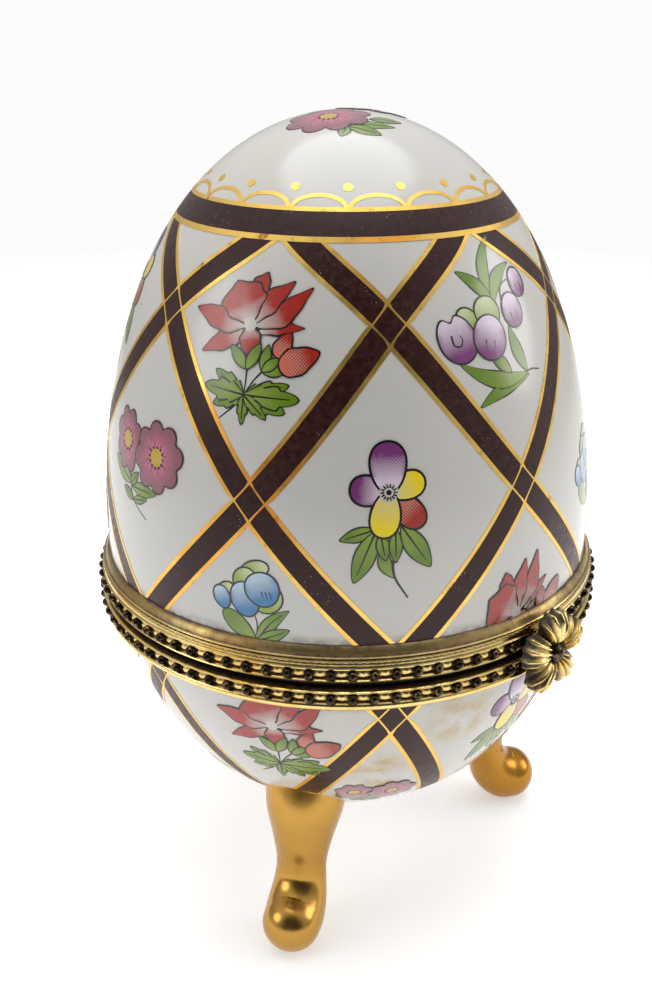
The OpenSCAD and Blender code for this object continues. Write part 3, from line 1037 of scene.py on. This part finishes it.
# Bezel outlines: radius and distance from the parting plane, and how hollow each is; a hollowness
# of 2 marks the faces in the gap, which take the painted gap shade
LID_BEZEL = (
    (33.4, 0.05, 2), (33.4, 0.48, 2), (34.2, 0.53, 0.8), (34.44, 0.6, 0.1), (34.54, 0.73, 0),
    (34.46, 0.87, 0.05), (34.22, 0.97, 0.5), (33.95, 1.05, 1), (33.92, 1.35, 0.8),
    (33.92, 1.6, 0.6), (33.92, 1.85, 0.8), (33.95, 2.15, 1), (34.2, 2.2, 0.5),
    (34.38, 2.28, 0.05), (34.4, 2.4, 0), (34.3, 2.5, 0.25), (34.24, 2.56, 0.45),
    (34.2, 2.8, 0.05), (34.16, 3.04, 0.15), (34.12, 3.1, 0.8), (34.2, 3.15, 0.4),
    (34.24, 3.25, 0.1), (34.18, 3.35, 0.5), (33.98, 3.4, 1), (33.96, 3.5, 1),
    (34.12, 3.56, 0.3), (34.18, 3.64, 0), (34.1, 3.74, 0.15), (33.95, 3.82, 0.95),
    (33.82, 4.1, 0.58), (33.66, 4.4, 0.52), (33.48, 4.7, 0.7), (33.3, 4.88, 0.85),
    (33.2, 4.9, 1), (33.28, 4.4, 1), (33.3, 0.6, 1), (29.6, 0.6, 1), (29.6, 3.0, 0.2),
    (29.3, 3.06, 0), (29.2, 2.9, 0.1), (29.2, 0.3, 0.3), (29.4, 0.05, 0.2),
)
BASE_BEZEL = (
    (33.4, 0.05, 2), (33.4, 0.48, 2), (34.2, 0.53, 0.7), (34.46, 0.58, 0.05), (34.6, 0.72, 0),
    (34.56, 0.85, 0), (34.4, 0.95, 0.3), (34.12, 1.01, 0.7), (33.95, 1.06, 1),
    (33.92, 1.35, 0.6), (33.92, 1.6, 0.4), (33.92, 1.85, 0.6), (33.95, 2.15, 1),
    (34.2, 2.22, 0.4), (34.44, 2.34, 0.05), (34.54, 2.55, 0), (34.54, 2.8, 0),
    (34.46, 3.0, 0.05), (34.28, 3.2, 0.15), (34.06, 3.32, 0.5), (33.98, 3.4, 0.6),
    (33.84, 3.5, 0.2), (33.5, 3.74, 0.2), (33.22, 3.88, 0.4), (32.85, 3.9, 0.9),
    (32.62, 3.86, 1), (32.72, 3.4, 1), (33.3, 0.62, 1), (29.6, 0.62, 1), (29.6, 3.0, 0.2),
    (29.3, 3.06, 0), (29.2, 2.9, 0.1), (29.2, 0.3, 0.3), (29.4, 0.05, 0.2),
)


def build_bezel(name, outline, side, body):
    """A bezel ring whose bead channel has raised bars between the beads."""
    points = [(r * MM, PARTING + side * h * MM) for r, h, hollow in outline]
    mesh = spin_outline(points, BEADS * 6, hollows=[row[2] for row in outline])
    layer = mesh.verts.layers.float["Hollow"]
    for vert in mesh.verts:
        radius = vert.co.xy.length / MM
        height = abs(vert.co.z - PARTING) / MM
        angle = math.atan2(vert.co.y, vert.co.x)
        if 33.9 < radius < 33.94 and 1.3 < height < 1.9:
            bar = max(0.0, -math.cos(angle * BEADS)) ** 0.5
            vert.co.xy *= 1 + bar * 0.34 / radius
            vert[layer] = 0.15 if bar > 0.5 else 1.0
        elif name == "lid_bezel_ring" and 34.15 < radius < 34.3 and 3.12 < height < 3.38:
            vert.co.xy *= 1 + 0.09 * math.cos(angle * BEADS * 3) / radius
    weld(mesh)
    return finish_piece(mesh, name, "bezel", body,
                        (name.replace("_ring", ""),), sharp=50)


def build_beads(name, side, body, node):
    """The row of beads, pressed into the channel."""
    mesh = bmesh.new()
    for i in range(BEADS):
        angle = i * TURN / BEADS
        place = Vector((math.cos(angle), math.sin(angle), 0)) * BEAD_RING * MM
        place.z = PARTING + side * BEAD_HEIGHT * MM
        bmesh.ops.create_uvsphere(mesh, u_segments=12, v_segments=8, radius=BEAD_SIZE * MM,
                                  matrix=Matrix.Translation(place))
    bmesh.ops.recalc_face_normals(mesh, faces=mesh.faces)
    return finish_piece(mesh, name, "beading", body, (node,), sharp=0)


# A foot's centre line: distance out, height, half width, half depth, in millimetres
FOOT_ROWS = [Vector(row) for row in (
    (18.6, 25.5, 5.2, 4.8), (19.5, 22.6, 5.6, 5.6), (20.8, 18.6, 5.3, 5.6),
    (21.9, 14.6, 4.2, 4.2), (22.6, 11.2, 3.55, 3.0), (23.1, 8.5, 3.6, 2.9),
    (24.3, 5.9, 3.95, 3.7), (26.0, 4.25, 4.1, 4.1), (27.5, 3.9, 4.0, 4.0))]
FOOT_RINGS, TOE_RINGS, FOOT_SIDES = 40, 9, 40
FOOT_SUNK = 0.7 * MM


def build_foot(name, degrees):
    """A leg with a swelling knee, slim ankle and rounded toe, fitted to the egg."""
    mesh = bmesh.new()
    bmesh.ops.create_cone(mesh, cap_ends=False, segments=FOOT_SIDES, radius1=1, radius2=1, depth=2)
    levels = FOOT_RINGS + TOE_RINGS
    lengthwise = [edge for edge in mesh.edges if abs(edge.verts[0].co.z - edge.verts[1].co.z) > 1]
    bmesh.ops.subdivide_edges(mesh, edges=lengthwise, cuts=levels - 1, use_grid_fill=True)
    turn = Matrix.Rotation(math.radians(degrees), 3, "Z")
    for vert in mesh.verts:
        level = round((1 - vert.co.z) / 2 * levels)
        side = math.atan2(vert.co.y, vert.co.x)
        along = min(1.0, level / FOOT_RINGS)
        out, height, half_width, half_depth = curve_point(FOOT_ROWS, along)
        ahead = (curve_point(FOOT_ROWS, min(1.0, along + 0.02))
                 - curve_point(FOOT_ROWS, max(0.0, along - 0.02)))
        direction = Vector((ahead[0], ahead[1])).normalized()
        shrink, push = 1.0, 0.0
        if level > FOOT_RINGS:
            cap_turn = (level - FOOT_RINGS) / TOE_RINGS * math.pi / 2
            shrink, push = math.cos(cap_turn), math.sin(cap_turn) * half_depth * 0.92
        across = math.cos(side) * half_width * shrink
        deep = math.sin(side) * half_depth * shrink
        radial = out + direction.x * push - direction.y * deep
        z = height + direction.y * push + direction.x * deep
        vert.co = turn @ (Vector((across, -radial, max(0.0, z))) * MM)
    for vert in mesh.verts:
        inside = egg_radius(vert.co.z) - vert.co.xy.length
        if vert.co.z > EGG_BOTTOM and inside > FOOT_SUNK:
            normal = egg_normal(math.atan2(vert.co.x, -vert.co.y), vert.co.z)
            vert.co += normal * ((inside - FOOT_SUNK) * normal.xy.length)
    ends = [edge for edge in mesh.edges if edge.is_boundary]
    bmesh.ops.holes_fill(mesh, edges=ends, sides=0)
    weld(mesh, 1e-5)
    return finish_piece(mesh, name + "_gilded", "gilding", "base",
                        (name,), sharp=60)


# The clasp's flower: its mesh, its petals and its deep eye
PETAL_RINGS, PETAL_SIDES = 22, 240
PETALS = 5
PETAL_RIBS = 25
EYE_REACH = 0.2
EYE_RADIUS = 1.25 * MM


def build_clasp_flower():
    """Cast flower: five ruffled petals with ribs round a deep eye."""
    low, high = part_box("clasp_flower")
    back, front = high.y, low.y
    radius = (high.x - low.x) / 2 * 1.03
    thickness = back - front
    spokes = [EYE_REACH + (1 - EYE_REACH) * i / PETAL_RINGS for i in range(PETAL_RINGS + 1)]
    mesh = spin_outline([(s, 0) for s in spokes], PETAL_SIDES, closed=False)
    for vert in mesh.verts:
        reach = (vert.co.xy.length - EYE_REACH) / (1 - EYE_REACH)
        angle = math.atan2(vert.co.y, vert.co.x)
        part = ((angle - math.pi / 2) / TURN * PETALS + 0.5) % 1.0 - 0.5
        gap = abs(2 * part) ** 4
        rib = math.cos(angle * PETAL_RIBS)
        ruffle = 0.035 * rib * reach
        edge = radius * (1 - 0.34 * gap + ruffle)
        size = EYE_RADIUS + (edge - EYE_RADIUS) * reach
        dome = math.sin(math.pi * (0.16 + 0.74 * reach))
        ribs = 0.12 * rib * math.sin(math.pi * min(1, 0.1 + reach * 0.88)) ** 0.5
        level = 0.34 + 0.62 * dome + ribs - 0.85 * gap * (0.4 + 0.6 * reach)
        wave = 0.1 * math.cos(part * TURN * 1.5) * reach
        level = max(0.12, min(1.0, level + wave)) * thickness
        vert.co = (size * math.cos(angle), back - level, PARTING + size * math.sin(angle))
    rims = [edge for edge in mesh.edges if edge.is_boundary]
    walls = bmesh.ops.extrude_edge_only(mesh, edges=rims)["geom"]
    for item in walls:
        if isinstance(item, bmesh.types.BMVert):
            item.co.y = back
    rims = [edge for edge in mesh.edges if edge.is_boundary]
    bmesh.ops.bridge_loops(mesh, edges=rims)
    weld(mesh)
    piece = finish_piece(mesh, "clasp_flower_cast", "clasp", "clasp",
                         ("clasp_flower",), sharp=55)

    def depth(point):
        level = (back - point.y) / thickness
        reach = math.hypot(point.x, point.z - PARTING) / radius
        groove = 0.4 - 0.6 * math.cos(math.atan2(point.z - PARTING, point.x) * PETAL_RIBS)
        return max(0.0, min(1.0, 1.2 - 1.5 * level + 0.6 * groove + (0.7 if reach < 0.3 else 0)))

    mark_hollows(piece, depth)
    return piece


# ---- what the panel shows ----

def colour_setting(name, description, default):
    return FloatVectorProperty(name=name, description=description, default=default,
                               subtype="COLOR", size=3, min=0, max=1)


class EGGBOX_PG_look(bpy.types.PropertyGroup):
    """Sizes and colours of the decoration, metals and stage."""

    glaze_colour: colour_setting("Glaze", "Colour of the white glaze", (0.63, 0.612, 0.565))
    band_colour: colour_setting("Bands", "Colour of the lattice bands", linear(48, 18, 16))
    gold_colour: colour_setting("Gold lines", "Colour of the printed gold", linear(240, 198, 104))
    foot_colour: colour_setting("Feet", "Colour of the gilded feet", linear(186, 143, 70))
    brass_colour: colour_setting("Brass", "Colour of the bezels, hinge and clasp",
                                 linear(232, 208, 140))
    band_width: FloatProperty(
        name="Band width", description="Width of a lattice band in millimetres",
        default=2.7, min=1, max=4)
    gold_width: FloatProperty(
        name="Gold line width", description="Width of a gold border in millimetres",
        default=0.5, min=0.2, max=1.2)
    dot_pitch: FloatProperty(
        name="Halftone pitch", description="Spacing of the print's dots in millimetres",
        default=0.26, min=0.1, max=1)
    scallops: IntProperty(
        name="Scallops", description="Number of gold scallops round the crown",
        default=18, min=8, max=40)
    light: FloatProperty(
        name="Light", description="Strength of the overhead light in watts", default=3.3,
        min=0, max=100)


class EGGBOX_OT_stage(bpy.types.Operator):
    """Sets the floor, the soft light and the camera"""

    bl_idname = "egg_box.stage"
    bl_label = "Stage"

    azimuth = math.radians(-44)
    elevation = math.radians(21.9)
    distance = 156.1 * MM
    lens = 40.14
    shift = (-0.0209, -0.0309)

    def execute(self, context):
        scene = context.scene
        camera = bpy.data.objects.new("camera", bpy.data.cameras.new("camera"))
        scene.collection.objects.link(camera)
        target = Vector((0, 0, EGG_MID))
        away = Vector((math.sin(self.azimuth) * math.cos(self.elevation),
                       -math.cos(self.azimuth) * math.cos(self.elevation),
                       math.sin(self.elevation)))
        camera.location = target + away * self.distance
        camera.rotation_euler = (-away).to_track_quat("-Z", "Y").to_euler()
        camera.data.lens = self.lens
        camera.data.shift_x, camera.data.shift_y = self.shift
        camera.data.clip_start = 0.01
        scene.camera = camera
        self.lights(scene, away)
        self.floor(scene)
        scene.view_settings.view_transform = "Standard"
        return {"FINISHED"}

    def lights(self, scene, away):
        """A wide overhead panel, two weaker side panels and a dim room."""
        power = scene.egg_box_look.light
        toward = Vector((math.sin(self.azimuth), -math.cos(self.azimuth), 0))
        right = Vector((-toward.y, toward.x, 0))
        places = (("top_panel", Vector((0, 0, 0.75)) - toward * 0.12, 0.7, power),
                  ("left_panel", toward * 0.25 - right * 0.65 + Vector((0, 0, 0.35)), 0.4,
                   power * 0.3),
                  ("right_panel", right * 0.7 - toward * 0.05 + Vector((0, 0, 0.3)), 0.4,
                   power * 0.4))
        for name, place, size, watts in places:
            data = bpy.data.lights.new(name, "AREA")
            data.shape = "DISK"
            data.size = size
            data.energy = watts
            lamp = bpy.data.objects.new(name, data)
            lamp.location = place
            aim = Vector((0, 0, EGG_MID)) - place
            lamp.rotation_euler = aim.to_track_quat("-Z", "Y").to_euler()
            scene.collection.objects.link(lamp)
        self.room(scene, away)

    def room(self, scene, away):
        """A pale room, dark behind the camera, and an even backdrop in front of it."""
        world = bpy.data.worlds.new("room")
        scene.world = world
        world.use_nodes = True
        world.node_tree.nodes.clear()
        place = add_node(world, "ShaderNodeTexCoord").outputs["Generated"]
        height = add_node(world, "ShaderNodeSeparateXYZ", inputs={0: place}).outputs["Z"]
        ramp = add_node(world, "ShaderNodeValToRGB", inputs={0: height})
        low, high = ramp.color_ramp.elements
        low.position, low.color = 0.0, (0.40, 0.39, 0.37, 1)
        high.position, high.color = 0.8, (0.95, 0.95, 0.95, 1)
        facing = add_node(world, "ShaderNodeVectorMath", operation="DOT_PRODUCT",
                          inputs={0: place, 1: away}).outputs["Value"]
        dim = add_node(world, "ShaderNodeMapRange",
                       inputs={"Value": facing, "From Min": 0.62, "From Max": 0.88,
                               "To Min": 0.9, "To Max": 0.08}).outputs["Result"]
        room = add_node(world, "ShaderNodeBackground",
                        inputs={"Color": ramp.outputs[0], "Strength": dim})
        backdrop = add_node(world, "ShaderNodeBackground", inputs={"Color": (0.97, 0.97, 0.97, 1)})
        seen = add_node(world, "ShaderNodeLightPath").outputs["Is Camera Ray"]
        mix = add_node(world, "ShaderNodeMixShader",
                       inputs={0: seen, 1: room.outputs[0], 2: backdrop.outputs[0]})
        add_node(world, "ShaderNodeOutputWorld", inputs={0: mix.outputs[0]})

    def floor(self, scene):
        """A pale floor that runs out of sight."""
        mesh = bmesh.new()
        bmesh.ops.create_circle(mesh, cap_ends=True, segments=96, radius=3.0)
        data = bpy.data.meshes.new("floor")
        mesh.to_mesh(data)
        mesh.free()
        floor = bpy.data.objects.new("floor", data)
        data.materials.append(studio_floor())
        scene.collection.objects.link(floor)


class EGGBOX_OT_shells(bpy.types.Operator):
    """Turns the lid's dome and the base's bowl in glazed porcelain"""

    bl_idname = "egg_box.shells"
    bl_label = "Porcelain shells"

    def execute(self, context):
        dome = meridian(LID_RIM, EGG_TOP, 110)
        inside = meridian(LID_RIM, EGG_TOP - WALL, 60, WALL)
        self.shell("lid_porcelain", dome + inside[::-1], "lid", "lid_shell")
        bowl = meridian(EGG_BOTTOM, BASE_RIM, 70)
        inside = meridian(EGG_BOTTOM + WALL, BASE_RIM, 44, WALL)
        self.shell("base_porcelain", bowl + inside[::-1], "base", "base_shell")
        return {"FINISHED"}

    def shell(self, name, outline, body, node):
        """An outline that starts and ends on the axis at its poles, spun and welded."""
        mesh = spin_outline(outline, SHELL_STEPS)
        weld(mesh, 2e-6)
        finish_piece(mesh, name, "porcelain", body, (node,), sharp=50)


class EGGBOX_OT_lattice(bpy.types.Operator):
    """Prints the maroon lattice and its gold lines, scallops and dots"""

    bl_idname = "egg_box.lattice"
    bl_label = "Lattice and gold lines"

    def execute(self, context):
        look = context.scene.egg_box_look
        crown_low = EGG_MID + CROWN_BAND[0] * EGG_R
        lid_span = (row_at(crown_low, LID_ROWS) - 0.1, row_at(LID_BEZEL_TOP - TUCK, LID_ROWS))

        def base_family(side, rows):
            top = row_at(BASE_BEZEL_LOW + TUCK * 0.6, rows)
            return side, rows, (top, row_at(EGG_MID + FOOT_LINE * EGG_R, rows))

        lid_families = [(side, LID_ROWS, lid_span) for side in (-1, 1)]
        base_families = [base_family(-1, BASE_ROWS), base_family(1, STEEP_BASE_ROWS)]
        for body, families in (("lid", lid_families), ("base", base_families)):
            bands, gold = bmesh.new(), bmesh.new()
            self.lattice(bands, gold, families, look)
            if body == "lid":
                cut_level(bands, crown_low, True)
                cut_level(gold, crown_low - 0.2 * MM, True)
                self.crown(bands, gold, look)
            else:
                self.foot_ring(gold)
            for mesh, name, material, slot in ((bands, "bands", "maroon", "porcelain"),
                                               (gold, "gold_lines", "gold_line", "gilding")):
                bmesh.ops.recalc_face_normals(mesh, faces=mesh.faces)
                finish_piece(mesh, body + "_" + name, material, body)
        return {"FINISHED"}

    def lattice(self, bands, gold, families, look):
        """Both families of bands, with gold lines that thin where they cross a band."""
        half = look.band_width / 2

        def near_crossing(row):
            return max(0.0, 1 - abs(row - round(row)) / CROSSING_REACH)

        def line_width(row):
            return look.gold_width * (1 - CROSSING_THINNING * min(1.0, near_crossing(row) * 2))

        for side, rows, span in families:
            for i in range(LATTICE_CELLS):
                start = LATTICE_PHASE + i * TURN / LATTICE_CELLS
                lattice_strip(bands, side, start, rows, span, lambda row: 0.0,
                              lambda row: look.band_width + 0.1, BAND_LIFT + 0.004 * side, 4)
                for edge in (-1, 1):
                    lattice_strip(gold, side, start, rows, span,
                                  lambda row: edge * (half + line_width(row) / 2), line_width,
                                  GOLD_LIFT + 0.004 * side, 1)

    def crown(self, bands, gold, look):
        """The crown band with its gold edges, scallops and dots."""
        low, high = (EGG_MID + height * EGG_R for height in CROWN_BAND)
        edge = 0.5 * MM
        ring_strip(bands, low, high, BAND_LIFT + 0.02)
        ring_strip(gold, low - edge, low + 0.05 * MM, GOLD_LIFT + 0.02)
        ring_strip(gold, high - 0.05 * MM, high + edge * 0.75, GOLD_LIFT + 0.02)
        pitch = TURN / look.scallops
        radius = egg_radius(high)
        half_width = pitch * radius / 2 / MM
        for i in range(look.scallops):
            dot_angle = FIRST_DOT + i * pitch
            arch_strip(gold, dot_angle + pitch / 2, high + 0.2 * MM, half_width - 0.2, 1.85, 0.5,
                       GOLD_LIFT)
            self.dot(gold, dot_angle, EGG_MID + CROWN_DOTS * EGG_R, 0.55)

    def foot_ring(self, gold):
        """The gold line that ends the lattice under the bowl."""
        z = EGG_MID + FOOT_LINE * EGG_R
        ring_strip(gold, z - 0.35 * MM, z + 0.35 * MM, GOLD_LIFT + 0.01)

    def dot(self, gold, angle, z, radius):
        """A round gold dot with closed sides."""
        mesh = bmesh.new()
        bmesh.ops.create_cone(mesh, cap_ends=True, segments=16, radius1=1, radius2=1, depth=2)
        for vert in mesh.verts:
            x, y = vert.co.x * radius * MM, vert.co.y * radius * MM
            height = GOLD_LIFT if vert.co.z > 0 else GOLD_LIFT - PRINT_DEPTH
            place = height_at(arc_at(z) + y)
            vert.co = on_egg(angle + x / egg_radius(z), place, height * MM)
        join(gold, mesh)


class EGGBOX_OT_sprays(bpy.types.Operator):
    """Prints the flower sprays in the lattice's cells and on the crown"""

    bl_idname = "egg_box.sprays"
    bl_label = "Flower sprays"

    def execute(self, context):
        sheets = {name: draw() for name, draw in DRAWINGS.items()}
        cell = 360 / LATTICE_CELLS
        lid_floor = LID_BEZEL_TOP - TUCK
        base_ceiling = BASE_BEZEL_LOW + 0.8 * MM
        count = 0
        for rows, body, floor, ceiling in ((LID_SPRAYS, "lid", lid_floor, None),
                                           (BASE_SPRAYS, "base", None, base_ceiling)):
            for height, first, lean, drawings in rows:
                for i, drawing in enumerate(drawings):
                    if drawing is None:
                        continue
                    count += 1
                    size = SMALL_SIZE if height < SMALL_ROW else 1.0
                    place_spray(f"spray_{count:02d}_{drawing}", sheets[drawing],
                                math.radians(first + i * cell), EGG_MID + height * EGG_R,
                                body, floor, ceiling, size, math.radians(lean))
        place_crown_spray("spray_crown", sheets["crown"], math.radians(-44))
        for sheet in sheets.values():
            bpy.data.meshes.remove(sheet)
        return {"FINISHED"}


class EGGBOX_OT_feet(bpy.types.Operator):
    """Moulds the three gilded feet"""

    bl_idname = "egg_box.feet"
    bl_label = "Gilded feet"

    def execute(self, context):
        for name, degrees in (("foot_left", -60), ("foot_right", 60), ("foot_back", 180)):
            build_foot(name, degrees)
        return {"FINISHED"}


class EGGBOX_OT_bezels(bpy.types.Operator):
    """Rolls the two bezels and sets their beads"""

    bl_idname = "egg_box.bezels"
    bl_label = "Bezels and beads"

    def execute(self, context):
        build_bezel("lid_bezel_ring", LID_BEZEL, 1, "lid")
        build_bezel("base_bezel_ring", BASE_BEZEL, -1, "base")
        build_beads("lid_beads", 1, "lid", "lid_beaded_wire")
        build_beads("base_beads", -1, "base", "base_beaded_wire")
        return {"FINISHED"}


class EGGBOX_OT_fittings(bpy.types.Operator):
    """Finishes the hinge, the catch and the clasp"""

    bl_idname = "egg_box.fittings"
    bl_label = "Hinge and clasp"

    def execute(self, context):
        finishes = {"base_hinge_leaf": "hinge", "lid_hinge_leaf": "hinge", "hinge_pin": "hinge",
                    "catch_stud": "hinge", "clasp_tongue": "clasp", "clasp_rivet": "beading",
                    "base_cement": "cement", "lid_cement": "cement"}
        for node, material in finishes.items():
            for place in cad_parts[node].material_slots:
                place.material = finish(material)
        build_clasp_flower()
        return {"FINISHED"}


class EGGBOX_PT_panel(bpy.types.Panel):
    """Lists the pieces of the box and their sizes and colours"""

    bl_idname = "EGGBOX_PT_panel"
    bl_label = "Egg box"
    bl_space_type = "VIEW_3D"
    bl_region_type = "UI"
    bl_category = "Egg box"

    def draw(self, context):
        look = context.scene.egg_box_look
        for name in look.__class__.__annotations__:
            self.layout.prop(look, name)
        for operator in STEPS:
            self.layout.operator(operator.bl_idname)


STEPS = (EGGBOX_OT_stage, EGGBOX_OT_shells, EGGBOX_OT_lattice, EGGBOX_OT_sprays,
         EGGBOX_OT_feet, EGGBOX_OT_bezels, EGGBOX_OT_fittings)
CLASSES = (EGGBOX_PG_look, *STEPS, EGGBOX_PT_panel)


def register():
    for entry in CLASSES:
        bpy.utils.register_class(entry)
    bpy.types.Scene.egg_box_look = PointerProperty(type=EGGBOX_PG_look)


def unregister():
    del bpy.types.Scene.egg_box_look
    for entry in reversed(CLASSES):
        bpy.utils.unregister_class(entry)


def main():
    """Registers the add-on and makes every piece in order."""
    register()
    bpy.ops.egg_box.stage()
    bpy.ops.egg_box.shells()
    bpy.ops.egg_box.lattice()
    bpy.ops.egg_box.sprays()
    bpy.ops.egg_box.feet()
    bpy.ops.egg_box.bezels()
    bpy.ops.egg_box.fittings()


if __name__ == "__main__":
    main()
